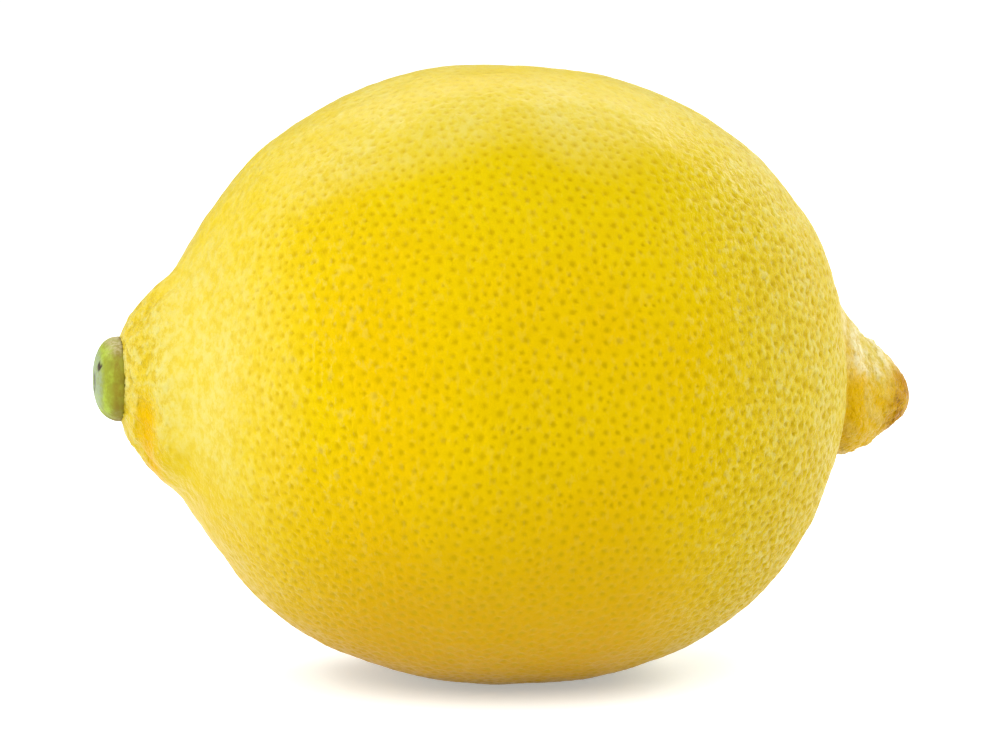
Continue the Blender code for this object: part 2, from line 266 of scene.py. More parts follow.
@dataclass(frozen=True)
class Relief:
    """How the grown surface departs from its plain outline, pits apart."""

    furrow_from_tip: float = 12.5 * MM
    furrow_width: float = 1.1 * MM
    furrow_shallow: float = 0.2 * MM
    furrow_deep: float = 1.75 * MM
    furrow_fade: float = 3.0
    deep_side: float = math.radians(-128)
    collar_from_stem: float = 6.0 * MM
    collar_width: float = 1.4 * MM
    collar_swell: float = 0.35 * MM
    collar_least: float = 0.5
    neck_furrow_from_stem: float = 7.4 * MM
    neck_furrow_slant: float = 2.8 * MM
    neck_furrow_bend: int = 4
    neck_furrow_width: float = 1.0 * MM
    neck_furrow_depth: float = 0.12 * MM
    lumps: Bumps = Bumps(0.38 * MM, 17.0 * MM)
    lump_fade: float = 12.4 * MM
    dapple: Bumps = Bumps(0.11 * MM, 6.5 * MM)
    grain: Bumps = Bumps(0.075 * MM, 2.1 * MM, 0.45, 1.9)
    wrinkle_height: float = 0.32 * MM
    wrinkles_round: float = 2.6
    wrinkle_length: float = 11.0 * MM
    wrinkles_coarse: float = 1.3
    wrinkles_fine: float = 0.7
    wrinkles_finer: float = 2.1
    wrinkle_reach: float = 6.6 * MM
    wrinkled_from_tip: float = 5.0 * MM
    wrinkled_from_stem: float = 8.0 * MM
    wrinkle_fade: float = 5.2 * MM
    least_wrinkled: float = 0.02
    fold_height: float = 0.52 * MM
    fold_level: float = 0.35
    folds_round: float = 1.5
    fold_length: float = 1.7 * MM
    fold_drop: float = 2.6 * MM
    folds_fine: float = 0.5
    folds_finer: float = 2.3
    warts: Bumps = Bumps(0.15 * MM, 1.5 * MM, 0.5, 2.1)

    def deepness(self, angle: float) -> float:
        """How much a place faces the side where the furrows are deep, from 0 to 1."""
        return 0.5 + 0.5 * math.cos(angle - self.deep_side)

    def neck_furrow(self, distance: float, angle: float, width: float) -> float:
        """How near a place is to the furrow behind the collar, from 0 to 1, on its deep side."""
        downward = max(0.0, -math.sin(angle))
        middle = self.neck_furrow_from_stem + self.neck_furrow_slant * downward**self.neck_furrow_bend
        return self.deepness(angle) * bump(distance - middle, width)

    def crease(self, distance: float, angle: float) -> float:
        """The creases that cross the nipple and drop to its tip: near 0 in one, up to about 0.8 between."""
        fine = Vector((math.cos(angle), math.sin(angle), 0)) * self.folds_round
        fine.z = (distance + self.fold_drop * math.sin(angle)) / self.fold_length
        return abs(noise.noise(fine)) + self.folds_fine * abs(noise.noise(fine * self.folds_finer))

    def height(self, outline: Outline, distance: float, angle: float, place: Vector) -> float:
        """How far the rind stands out from its outline.

        Args:
            outline: The plain outline.
            distance: How far along it, from the stem end.
            angle: The angle about the axis.
            place: The outline's place there.

        Returns:
            The height in metres, below 0 in a furrow.
        """
        from_tip = outline.length - distance
        deep = self.deepness(angle)
        furrow = self.furrow_shallow + (self.furrow_deep - self.furrow_shallow) * deep**self.furrow_fade
        height = -furrow * bump(from_tip - self.furrow_from_tip, self.furrow_width)
        collar = self.collar_swell * (self.collar_least + deep)
        height += collar * bump(distance - self.collar_from_stem, self.collar_width)
        height -= self.neck_furrow_depth * self.neck_furrow(distance, angle, self.neck_furrow_width)

        around = Vector((math.cos(angle), math.sin(angle)))
        body = Vector((place.x, place.y * around.x, place.y * around.y))
        height += self.lumps.at(body) * smooth_step(place.y / self.lump_fade)
        height += self.dapple.at(body)
        height += self.grain.at(body)

        tip_end = bump(from_tip - self.wrinkled_from_tip, self.wrinkle_reach)
        wrinkled = max(tip_end, bump(distance - self.wrinkled_from_stem, self.wrinkle_reach))
        calm = smooth_step(place.y / self.wrinkle_fade)
        turned = (around.x * self.wrinkles_round, around.y * self.wrinkles_round)
        broad = Vector((*turned, distance / self.wrinkle_length))
        fine = self.wrinkles_fine * noise.noise(broad * self.wrinkles_finer)
        height += self.wrinkle_height * wrinkled * calm * (self.wrinkles_coarse * noise.noise(broad) + fine)
        if wrinkled > self.least_wrinkled:
            height += self.fold_height * (self.crease(distance, angle) - self.fold_level) * calm * tip_end
            height += self.warts.at(body) * calm * wrinkled
        return height


@dataclass(frozen=True)
class Marking:
    """Where the rind's pits and finish change, and where light and shade are painted on it, as strengths from
    0 to 1.
    """

    relief: Relief
    least_pit: float = 0.12
    pits_past_tip: Ramp = Ramp(3 * MM, 12 * MM)
    pits_past_neck: Ramp = Ramp(12 * MM, 18 * MM)
    pits_lost_on_crown: Ramp = Ramp(0.62, 0.3, 0.45)
    least_crinkle: float = 0.08
    crinkle_tip_flank: Ramp = Ramp(8 * MM, 16 * MM, 0.70)
    crinkle_stem_flank: Ramp = Ramp(-12 * MM, -12 * MM, 0.18)
    crinkle_nipple: Ramp = Ramp(14 * MM, -3 * MM)
    crinkle_collar: Ramp = Ramp(13 * MM, -5 * MM, 0.8)
    greenish_neck: Ramp = Ramp(-14 * MM, -16 * MM, 0.5)
    greenish_shoulder: Ramp = Ramp(6 * MM, 16 * MM, 0.5)
    # The painted sheen, a pale painted reflection of the lights: more on the upper side, along the crown,
    # round the neck and by the nipple.
    painted_sheen_upward: Ramp = Ramp(-1.0, 1 / 0.9)
    painted_sheen_neck: Ramp = Ramp(-22 * MM, -10 * MM, 0.75)
    painted_sheen_below_crown: Ramp = Ramp(1.02, -0.22)
    painted_sheen_crown: Ramp = Ramp(0.74, 0.30, 0.55)
    painted_sheen_shoulder: Ramp = Ramp(14 * MM, 14 * MM, 0.30)
    # Orange-gold: the nipple end's own tone, and painted shade in the fold at its root, below it, in its
    # creases and in the neck's furrow.
    amber_and_shade_most: float = 0.95
    fold_shade: float = 0.80
    fold_shade_shift: float = 0.8 * MM
    fold_shade_spread: float = 1.9
    amber_blunt_end: Ramp = Ramp(7.5 * MM, -4.5 * MM, 0.55)
    nipple_shade_reach: Ramp = Ramp(13 * MM, -3 * MM)
    nipple_underside_shade: Ramp = Ramp(0.30, 1 / 1.7, 0.90)
    amber_and_shade_lost_on_ridge: float = 0.20
    neck_furrow_shade: Ramp = Ramp(0.1875, -0.625)
    ridge: Ramp = Ramp(0.12, 0.30)
    # Painted highlight on the nipple: on its upper side and its ridges, faint in the creases and below.
    nipple_highlight_upper: Ramp = Ramp(0.50, 0.5)
    nipple_highlight_climb: float = 0.6 / (13 * MM)
    nipple_highlight_below: float = 0.14
    nipple_highlight_in_crease: float = 0.20
    nipple_highlight_from_tip: float = 8.5 * MM
    nipple_highlight_width: float = 4.8 * MM
    burnt_tip: Ramp = Ramp(5.0 * MM, -3.6 * MM)
    burnt_further_below: float = 2.6 * MM

    def pit_share(self, distance: float, from_tip: float, upward: float) -> float:
        """How much of its depth a pit keeps: little near both ends, and less along the crown."""
        plain = self.pits_past_tip.at(from_tip) * self.pits_past_neck.at(distance)
        plain *= 1 - self.pits_lost_on_crown.at(upward)
        return self.least_pit + (1 - self.least_pit) * plain

    def crinkle(self, x: float, distance: float, from_tip: float) -> float:
        """How crinkled the rind is: on the flanks, more at the neck, and most on the nipple."""
        flank = self.crinkle_tip_flank.at(x) + self.crinkle_stem_flank.at(x)
        most = max(flank, self.crinkle_nipple.at(from_tip), self.crinkle_collar.at(distance))
        return self.least_crinkle + (1 - self.least_crinkle) * most

    def greenish(self, x: float) -> float:
        """How greenish the yellow is: towards the neck and towards the nipple."""
        return max(self.greenish_neck.at(x), self.greenish_shoulder.at(x))

    def painted_sheen(self, x: float, upward: float) -> float:
        """How much painted sheen a place carries, a pale painted reflection of the lights: round the neck,
        along the crown and by the nipple, more on the upper side.
        """
        lit = self.painted_sheen_upward.at(upward)
        neck = self.painted_sheen_neck.at(x) * self.painted_sheen_below_crown.at(upward)
        return max(neck * lit, self.painted_sheen_crown.at(upward), self.painted_sheen_shoulder.at(x) * lit)

    def nipple(self, distance: float, from_tip: float, angle: float) -> tuple[float, float, float]:
        """How the nipple is coloured: orange-gold at its end with painted shade below, in the fold and in the
        creases, a painted highlight on top and on the ridges, burnt at the tip.

        Args:
            distance: How far the place is from the stem end.
            from_tip: How far it is from the tip.
            angle: Its angle about the axis.

        Returns:
            The strengths of the amber, the cream and the burnt tip.
        """
        # Painted shade in the fold and below the nipple, less on the ridges; the blunt end's orange-gold is
        # its own tone.
        deep = self.relief.deepness(angle)
        off_fold = from_tip - self.relief.furrow_from_tip + self.fold_shade_shift
        fold = self.fold_shade * deep * bump(off_fold, self.fold_shade_spread * self.relief.furrow_width)
        underside_shade = self.nipple_shade_reach.at(from_tip) * self.nipple_underside_shade.at(deep)
        amber_and_shade = min(self.amber_and_shade_most, fold + self.amber_blunt_end.at(from_tip) + underside_shade)
        ridge = self.ridge.at(self.relief.crease(distance, angle))
        # Painted highlight: on the upper side, climbing towards the tip, and on the ridges.
        upper = self.nipple_highlight_upper.at(math.sin(angle) + self.nipple_highlight_climb * from_tip)
        nipple_highlight = self.nipple_highlight_in_crease + (1 - self.nipple_highlight_in_crease) * ridge
        nipple_highlight *= max(upper, self.nipple_highlight_below * ridge) * bump(from_tip - self.nipple_highlight_from_tip, self.nipple_highlight_width)
        burnt = self.burnt_tip.at(from_tip - self.burnt_further_below * deep)
        return amber_and_shade * (1 - self.amber_and_shade_lost_on_ridge * ridge), nipple_highlight, burnt


@dataclass(frozen=True)
class Pattern:
    """A noise texture: the size of its features, its octaves, how strong the fine ones are, its stretch."""

    size: float
    detail: float = 3.0
    roughness: float = 0.5
    stretch: tuple[float, float, float] | None = None


@dataclass
class Nodes:
    """A material's node tree, with short ways to add its nodes and join them."""

    name: str

    def __post_init__(self) -> None:
        """Makes the material, with only its surface shader and its output."""
        self.material = bpy.data.materials.new(self.name)
        self.material.use_nodes = True
        self.tree = self.material.node_tree
        self.shader = self.tree.nodes["Principled BSDF"]
        self.object_place = self.tree.nodes.new("ShaderNodeTexCoord").outputs["Object"]

    def join(self, source: object, socket: bpy.types.NodeSocket) -> None:
        """Feeds a socket.

        Args:
            source: An output socket to link, or a plain value to set.
            socket: The input socket.
        """
        if isinstance(source, bpy.types.NodeSocket):
            self.tree.links.new(source, socket)
        elif socket.type == "RGBA":
            socket.default_value = (*source, 1.0)
        else:
            socket.default_value = source

    def dress(self, values: dict[str, object]) -> None:
        """Feeds the surface shader's own sockets, by their names."""
        for name, value in values.items():
            self.join(value, self.shader.inputs[name])

    def marked(self, mark: Mark) -> bpy.types.NodeSocket:
        """How strongly the mesh is marked at a place."""
        node = self.tree.nodes.new("ShaderNodeAttribute")
        node.attribute_name = mark.value
        return node.outputs["Fac"]

    def height(self) -> bpy.types.NodeSocket:
        """How high a place is over the table, from its Object coordinates."""
        node = self.tree.nodes.new("ShaderNodeSeparateXYZ")
        self.join(self.object_place, node.inputs["Vector"])
        return node.outputs["Z"]

    def noise(self, pattern: Pattern) -> bpy.types.NodeSocket:
        """A noise texture in the object's own space."""
        place = self.object_place
        if pattern.stretch is not None:
            stretch = self.tree.nodes.new("ShaderNodeMapping")
            self.join(pattern.stretch, stretch.inputs["Scale"])
            self.join(place, stretch.inputs["Vector"])
            place = stretch.outputs["Vector"]
        node = self.tree.nodes.new("ShaderNodeTexNoise")
        values = (place, 1 / pattern.size, pattern.detail, pattern.roughness)
        for name, value in zip(("Vector", "Scale", "Detail", "Roughness"), values):
            self.join(value, node.inputs[name])
        return node.outputs["Fac"]

    def fit(self, value: object, low: float, high: float, to_low: float = 0.0,
            to_high: float = 1.0) -> bpy.types.NodeSocket:  # fmt: skip
        """Maps a range of values smoothly to another.

        Args:
            value: The socket to read.
            low: The value that gives to_low.
            high: The value that gives to_high.
            to_low: The result at low and beyond it.
            to_high: The result at high and beyond it.

        Returns:
            The result's socket.
        """
        node = self.tree.nodes.new("ShaderNodeMapRange")
        node.interpolation_type = "SMOOTHSTEP"
        values = (value, low, high, to_low, to_high)
        for name, each in zip(("Value", "From Min", "From Max", "To Min", "To Max"), values):
            self.join(each, node.inputs[name])
        return node.outputs["Result"]

    def times(self, one: object, other: object) -> bpy.types.NodeSocket:
        """Multiplies two values or sockets."""
        node = self.tree.nodes.new("ShaderNodeMath")
        node.operation = "MULTIPLY"
        self.join(one, node.inputs[0])
        self.join(other, node.inputs[1])
        return node.outputs["Value"]

    def mix(self, share: object, one: object, other: object) -> bpy.types.NodeSocket:
        """Mixes two colours.

        Args:
            share: How much of the other colour, from 0 to 1.
            one: The first colour or socket.
            other: The second.

        Returns:
            The mixed colour's socket.
        """
        node = self.tree.nodes.new("ShaderNodeMix")
        node.data_type = "RGBA"
        node.clamp_factor = True
        self.join(share, node.inputs["Factor"])
        self.join(one, node.inputs["A"])
        self.join(other, node.inputs["B"])
        return next(socket for socket in node.outputs if socket.type == "RGBA")

    def relief(self, height: object, distance: float, strength: float = 1.0,
               over: bpy.types.NodeSocket | None = None) -> bpy.types.NodeSocket:  # fmt: skip
        """Turns a height into a shading normal.

        Args:
            height: The height's socket, from 0 to 1.
            distance: What a height of 1 stands for, in metres.
            strength: How much of the relief shows.
            over: A normal that the relief lies on.

        Returns:
            The normal's socket.
        """
        node = self.tree.nodes.new("ShaderNodeBump")
        node.inputs["Strength"].default_value = strength
        node.inputs["Distance"].default_value = distance
        self.join(height, node.inputs["Height"])
        if over is not None:
            self.join(over, node.inputs["Normal"])
        return node.outputs["Normal"]


@dataclass(frozen=True)
class RindFinish:
    """Waxy lemon rind: yellow, with olive pits, golden mottling and a brown-flecked tip, and painted light
    and shade: a pale painted sheen and glints, a painted highlight on the nipple, and painted shade in the
    pits, the crinkles, the folds and furrows, the crevice round the button and towards the bottom.
    """

    yellow: Color = (0.535, 0.362, 0.0005)
    golden: Color = (0.535, 0.342, 0.0005)
    greenish: Color = (0.502, 0.391, 0.0010)
    # Darker, more golden colour towards the bottom: painted shade on the lower side.
    underside_shade: Color = (0.450, 0.238, 0.0005)
    # Olive tone of the pits; where the pits are marked it also stands as painted shade in them, and it
    # colours the random cloud and the crinkles' painted shade.
    pit: Color = (0.395, 0.258, 0.0005)
    # Pale colour of the painted sheen and of the painted glints.
    painted_sheen: Color = (0.508, 0.458, 0.150)
    # Orange-gold of the nipple's end, also the colour of the painted shade in the furrows and below the
    # nipple.
    amber_and_shade: Color = (0.54, 0.315, 0.0005)
    ochre: Color = (0.36, 0.165, 0.001)
    # Pale colour of the painted highlight on the nipple.
    nipple_highlight: Color = (0.66, 0.60, 0.36)
    tip_brown: Color = (0.10, 0.038, 0.005)
    # Colour of the painted shade in the crevice round the button.
    crevice_shade: Color = (0.14, 0.085, 0.008)
    mottle: Pattern = Pattern(13 * MM)
    mottle_fit: Fit = (0.38, 0.66)
    underside_shade_fit: Fit = (30 * MM, 2 * MM, 0.0, 0.9)
    crown_fit: Fit = (36 * MM, 60 * MM, 0.0, 0.75)
    cloud: Pattern = Pattern(1.5 * MM, detail=2.0)
    cloud_fit: Fit = (0.35, 0.75, 0.0, 0.16)
    # Patches and streaks that break up the painted sheen.
    painted_sheen_haze: Pattern = Pattern(4.2 * MM, detail=4.0, roughness=0.65, stretch=(1.0, 0.5, 0.5))
    painted_sheen_haze_fit: Fit = (0.32, 0.66, 0.50, 1.0)
    painted_sheen_streak_fit: Fit = (0.38, 0.62, 0.50, 1.0)
    pit_tone_and_shade_fit: Fit = (0.05, 1.0, 0.0, 0.80)
    streaks: Pattern = Pattern(0.7 * MM, roughness=0.65, stretch=(1.0, 0.58, 0.58))
    # Painted shade and painted glints on the crinkles: where the streaks are low they darken to the pit
    # colour, where high they pale to the sheen colour.
    crinkle_shade_fit: Fit = (0.50, 0.38, 0.0, 0.60)
    crinkle_glint_fit: Fit = (0.52, 0.66, 0.0, 0.60)
    speckle: Pattern = Pattern(0.6 * MM, roughness=0.7)
    nipple_highlight_fit: Fit = (0.36, 0.58, 0.32, 1.0)
    burnt: Pattern = Pattern(1.7 * MM, roughness=0.6)
    burnt_fit: Fit = (0.36, 0.60, 0.45, 1.0)
    fleck_reach_fit: Fit = (0.25, 0.9)
    fleck_fit: Fit = (0.50, 0.66, 0.0, 0.60)
    wax: Pattern = Pattern(5 * MM)
    wax_fit: Fit = (0.35, 0.68, 0.32, 0.45)
    skin: Pattern = Pattern(0.45 * MM, detail=2.0)
    skin_height: float = 0.045 * MM
    skin_strength: float = 0.7
    crinkle_height: float = 0.85 * MM
    specular: float = 0.07
    specular_tint: Color = (1.0, 0.85, 0.0)
    subsurface: float = 0.08
    subsurface_reach: float = 1.2 * MM
    subsurface_radius: Color = (1.0, 0.55, 0.08)

    def _color(self, nodes: Nodes, streaks: bpy.types.NodeSocket) -> bpy.types.NodeSocket:
        """Mixes the rind's colour.

        Args:
            Mixes the rind's colour, with its painted light and shade.
            streaks: The fine streaks that run round the fruit.

        Returns:
            The colour's socket.
        """
        crinkle, tip, height = nodes.marked(Mark.CRINKLE), nodes.marked(Mark.TIP), nodes.height()
        speckle = nodes.noise(self.speckle)
        flecked = nodes.times(nodes.fit(tip, *self.fleck_reach_fit), nodes.fit(speckle, *self.fleck_fit))
        color = nodes.mix(nodes.fit(nodes.noise(self.mottle), *self.mottle_fit), self.yellow, self.golden)
        painted_sheen = nodes.times(nodes.marked(Mark.PAINTED_SHEEN), nodes.fit(nodes.noise(self.painted_sheen_haze), *self.painted_sheen_haze_fit))
        layers = (
            # painted shade, darker towards the bottom
            (nodes.fit(height, *self.underside_shade_fit), self.underside_shade),
            (nodes.fit(height, *self.crown_fit), self.greenish),
            (nodes.marked(Mark.GREENISH), self.greenish),
            (nodes.fit(nodes.noise(self.cloud), *self.cloud_fit), self.pit),
            # painted sheen, broken into patches and streaks
            (nodes.times(painted_sheen, nodes.fit(streaks, *self.painted_sheen_streak_fit)), self.painted_sheen),
            # the pits' olive tone, deepened as painted shade in them
            (nodes.fit(nodes.marked(Mark.PIT), *self.pit_tone_and_shade_fit), self.pit),
            # painted shade and painted glints of the crinkles
            (nodes.times(crinkle, nodes.fit(streaks, *self.crinkle_shade_fit)), self.pit),
            (nodes.times(crinkle, nodes.fit(streaks, *self.crinkle_glint_fit)), self.painted_sheen),
            # orange-gold of the nipple's end, and painted shade in the furrows
            (nodes.marked(Mark.AMBER_AND_SHADE), self.amber_and_shade),
            # painted highlight on the nipple, broken into specks
            (nodes.times(nodes.marked(Mark.NIPPLE_HIGHLIGHT), nodes.fit(speckle, *self.nipple_highlight_fit)), self.nipple_highlight),
            (nodes.times(tip, nodes.fit(nodes.noise(self.burnt), *self.burnt_fit)), self.ochre),
            (flecked, self.tip_brown),
            # painted shade in the crevice round the button
            (nodes.marked(Mark.CREVICE_SHADE), self.crevice_shade),
        )
        for share, layer in layers:
            color = nodes.mix(share, color, layer)
        return color

    def material(self) -> bpy.types.Material:
        """The finish as a material."""
        nodes = Nodes("rind")
        streaks = nodes.noise(self.streaks)
        skin = nodes.relief(nodes.noise(self.skin), self.skin_height, self.skin_strength)
        crinkles = nodes.times(streaks, nodes.marked(Mark.CRINKLE))
        nodes.dress({
            "Base Color": self._color(nodes, streaks),
            "Roughness": nodes.fit(nodes.noise(self.wax), *self.wax_fit),
            "Specular IOR Level": self.specular,
            "Specular Tint": self.specular_tint,
            "Subsurface Weight": self.subsurface,
            "Subsurface Radius": self.subsurface_radius,
            "Subsurface Scale": self.subsurface_reach,
            "Normal": nodes.relief(crinkles, self.crinkle_height, over=skin),
        })
        return nodes.material


@dataclass(frozen=True)
class CalyxFinish:
    """The button's woody tissue: grey-green face, olive side, beige top and brown scars."""

    green: Color = (0.195, 0.215, 0.008)
    bright: Color = (0.270, 0.345, 0.020)
    olive: Color = (0.185, 0.135, 0.003)
    grey_green: Color = (0.22, 0.27, 0.16)
    beige: Color = (0.38, 0.33, 0.16)
    brown: Color = (0.030, 0.014, 0.006)
    streak: Pattern = Pattern(0.8 * MM, roughness=0.6, stretch=(0.8, 0.5, 0.5))
    fine: Pattern = Pattern(0.35 * MM, detail=2.0, roughness=0.6)
    streak_fit: Fit = (0.40, 0.64)
    side_fit: Fit = (0.30, 0.60, 1.0, 0.65)
    face_fit: Fit = (0.35, 0.6, 0.5, 0.95)
    top_fit: Fit = (0.4, 0.6, 0.3, 0.85)
    grain_height: float = 0.10 * MM
    grain_strength: float = 0.8
    roughness: float = 0.55
    specular: float = 0.2

    def material(self) -> bpy.types.Material:
        """The finish as a material."""
        nodes = Nodes("calyx")
        streak, fine = nodes.noise(self.streak), nodes.noise(self.fine)
        color = nodes.mix(nodes.fit(streak, *self.streak_fit), self.green, self.bright)
        layers = (
            (nodes.times(nodes.marked(Mark.SIDE), nodes.fit(streak, *self.side_fit)), self.olive),
            (nodes.times(nodes.marked(Mark.FACE), nodes.fit(fine, *self.face_fit)), self.grey_green),
            (nodes.times(nodes.marked(Mark.TOP), nodes.fit(fine, *self.top_fit)), self.beige),
            (nodes.marked(Mark.SCAR), self.brown),
        )
        for share, layer in layers:
            color = nodes.mix(share, color, layer)
        nodes.dress({
            "Base Color": color,
            "Roughness": self.roughness,
            "Specular IOR Level": self.specular,
            "Normal": nodes.relief(fine, self.grain_height, self.grain_strength),
        })
        return nodes.material


def finished_piece(name: str, bm: bmesh.types.BMesh, material: bpy.types.Material) -> bpy.types.Object:
    """Puts a finished mesh in the scene, smooth, with its object at the origin.

    Args:
        name: The piece's name.
        bm: Its mesh, in place. It is freed.
        material: Its one material.

    Returns:
        The piece.
    """
    for face in bm.faces:
        face.smooth = True
    mesh = bpy.data.meshes.new(name)
    bm.to_mesh(mesh)
    bm.free()
    mesh.materials.append(material)
    piece = bpy.data.objects.new(name, mesh)
    bpy.context.scene.collection.objects.link(piece)
    return piece


@dataclass
class Axis:
    """The fruit's own axis, in its place over the floor."""

    slant: float = math.radians(0.45)
    balance_x: float = 0.36 * MM
    height: float = 30.48 * MM

    def matrix(self) -> Matrix:
        """The axis's place in the frame."""
        turn = Matrix.Rotation(self.slant, 4, "Y")
        return Matrix.Translation((-self.balance_x, 0, self.height)) @ turn


@dataclass
class Rind:
    """The whole rind, with its neck, nipple and pits, closed behind the button."""

    outline: Outline
    relief: Relief
    marking: Marking
    axis: Axis
    finish: RindFinish = field(default_factory=RindFinish)
    pits: int = 10500
    crowding: float = 6.0
    least_crowding: float = 1e-9
    end_reach: float = 12.5 * MM
    end_gap: float = 0.1 * MM
    least_radius: float = 1 * MM
    scatter: float = 0.45
    relax_rounds: int = 9
    ring_share: float = 37.0
    ring_sink: float = 0.12
    pit_depth: float = 0.150 * MM
    pit_variety: float = 0.20
    pit_crinkled: float = 0.8
    crown_dip: Ramp = Ramp(61.2 * MM, 0.6 * MM, 0.10 * MM)
    seat_radius: float = 4.2 * MM
    seat_dish: Ramp = Ramp(seat_radius, -0.8 * MM, 1.0 * MM)
    # Where the painted shade in the crevice round the button reaches.
    crevice_shade: Ramp = Ramp(seat_radius - 0.05 * MM, -0.3 * MM)
    lip_reach: float = 0.24 * MM
    lip_calm: Ramp = Ramp(4.2 * MM, 2.6 * MM)
    # How wide the neck furrow's painted shade spreads; the painted sheen is taken out over the same width.
    neck_furrow_shade_spread: float = 1.3
    # How far the painted sheen's edge wavers, and the size of its patches.
    painted_sheen_waver: float = 0.20
    painted_sheen_patches: float = 3.2
    seed: int = 7

    def _scattered(self) -> list[tuple[float, float]]:
        """Where the pits lie, as distances from the stem end and angles about the axis."""
        outline = self.outline
        crowding = []
        for distance, place in zip(outline.distance, outline.curve):
            from_end = min(distance, outline.length - distance)
            closeness = 1 + (self.crowding - 1) * (1 - smooth_step(from_end / self.end_reach))
            crowding.append(closeness * place.y)
        count = [0.0]
        for step in range(1, len(crowding)):
            width = outline.distance[step] - outline.distance[step - 1]
            count.append(count[-1] + 0.5 * (crowding[step] + crowding[step - 1]) * width)
        dice = random.Random(self.seed)
        places = []
        for pit in range(self.pits):
            wanted = (pit + 0.5) / self.pits * count[-1]
            step = min(max(bisect.bisect_right(count, wanted), 1), len(crowding) - 1)
            radius = max(outline.curve[step].y, self.least_radius)
            share = radius / max(crowding[step], self.least_crowding)
            reach = self.scatter * math.sqrt(2 * math.pi * count[-1] / self.pits * share)
            distance = outline.distance[step] + dice.uniform(-1, 1) * reach
            angle = pit * GOLDEN_ANGLE + dice.uniform(-1, 1) * reach / radius
            places.append((min(max(distance, self.end_gap), outline.length - self.end_gap), angle))
        return places

    def _net(self) -> bmesh.types.BMesh:
        """Nets the pits together on a globe, each the middle of a ring of others."""
        bm = bmesh.new()
        for distance, angle in self._scattered():
            bm.verts.new(self.outline.on_globe(distance, angle))
        for _ in range(self.relax_rounds):
            bmesh.ops.convex_hull(bm, input=bm.verts[:])
            bmesh.ops.smooth_vert(
                bm, verts=bm.verts[:], factor=0.5, use_axis_x=True, use_axis_y=True, use_axis_z=True
            )
            bmesh.ops.delete(bm, geom=bm.edges[:], context="EDGES_FACES")
            for vert in bm.verts:
                vert.co.normalize()
        bmesh.ops.convex_hull(bm, input=bm.verts[:])
        left_out = [vert for vert in bm.verts if not vert.link_faces]
        bmesh.ops.delete(bm, geom=left_out, context="VERTS")
        return bm

    def _open_pits(self, bm: bmesh.types.BMesh) -> None:
        """Gives each pit its own ring, raises a ridge between the pits, and marks how deep each lies."""
        (pit,) = mark_layers(bm, Mark.PIT)
        opened = bmesh.ops.bevel(
            bm,
            geom=bm.verts[:],
            offset=self.ring_share,
            offset_type="PERCENT",
            segments=1,
            profile=0.5,
            affect="VERTICES",
            material=-1,
        )
        pit_faces = opened["faces"]
        inside = set(pit_faces)
        between = [face for face in bm.faces if face not in inside]
        dice = random.Random(self.seed + 1)
        for face in pit_faces:
            depth = 1 + self.pit_variety * dice.uniform(-1, 1)
            for vert in face.verts:
                vert[pit] = self.ring_sink * depth
        for vert in bmesh.ops.poke(bm, faces=between)["verts"]:
            vert[pit] = 0.0
        for vert in bmesh.ops.poke(bm, faces=pit_faces)["verts"]:
            ring = vert.link_edges[0].other_vert(vert)
            vert[pit] = ring[pit] / self.ring_sink

    def _shape(self, bm: bmesh.types.BMesh) -> None:
        """Brings the globe to the fruit's shape, and marks where its finish changes and where light and shade
        are painted on it.
        """
        outline, relief, marking = self.outline, self.relief, self.marking
        pit = bm.verts.layers.float[Mark.PIT.value]
        crinkle, greenish, painted_sheen, crevice_shade, amber_and_shade, nipple_highlight, tip = mark_layers(
            bm, Mark.CRINKLE, Mark.GREENISH, Mark.PAINTED_SHEEN, Mark.CREVICE_SHADE, Mark.AMBER_AND_SHADE, Mark.NIPPLE_HIGHLIGHT, Mark.TIP
        )
        on_floor = self.axis.matrix()
        for vert in bm.verts:
            distance, angle = outline.from_globe(vert.co)
            place, normal, rise = outline.at(distance)
            x, radius, upward = place.x, place.y, math.sin(angle)
            from_tip = outline.length - distance
            crinkled = marking.crinkle(x, distance, from_tip)
            vert[crinkle] = crinkled
            vert[pit] *= marking.pit_share(distance, from_tip, upward)
            height = relief.height(outline, distance, angle, place) * self.lip_calm.at(distance)
            sunk = self.pit_depth * vert[pit] * (1 + self.pit_crinkled * crinkled)
            place = place + normal * (height - sunk)
            furrow = relief.neck_furrow(distance, angle, self.neck_furrow_shade_spread * relief.neck_furrow_width)
            # Painted sheen, wavering at its edge and kept out of the neck's furrow.
            waver = self.painted_sheen_waver * noise.noise(vert.co * self.painted_sheen_patches)
            vert[greenish] = marking.greenish(x)
            vert[painted_sheen] = marking.painted_sheen(x, upward + waver) * (1 - furrow)
            vert[amber_and_shade], vert[nipple_highlight], vert[tip] = marking.nipple(distance, from_tip, angle)
            # Painted shade in the neck's furrow, on its lower side.
            vert[amber_and_shade] = max(vert[amber_and_shade], furrow * marking.neck_furrow_shade.at(upward))
            if x < 0:
                lip = self._round_lip(radius)
                place.y += lip - radius
                place.x += self.seat_dish.at(lip)
                # Painted shade in the crevice round the button, at the seat's lip.
                vert[crevice_shade] = self.crevice_shade.at(lip)
            vert.co = on_floor @ Vector((place.x, place.y * math.cos(angle), place.y * upward + rise))
            vert.co.z -= self.crown_dip.at(vert.co.z)
            vert.co.z = max(vert.co.z, 0.0)

    def _round_lip(self, radius: float) -> float:
        """Draws the radii near the seat's lip onto it, so that the lip is one clean circle."""
        off_lip = radius - self.seat_radius
        return self.seat_radius if abs(off_lip) < self.lip_reach else radius

    def build(self) -> bpy.types.Object:
        """Makes the rind, which stands for the frame's fruit.

        Returns:
            The finished piece.
        """
        bm = self._net()
        self._open_pits(bm)
        self._shape(bm)
        bmesh.ops.recalc_face_normals(bm, faces=bm.faces[:])
        piece = finished_piece("rind", bm, self.finish.material())
        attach(piece, "root")
        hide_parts("fruit")
        return piece


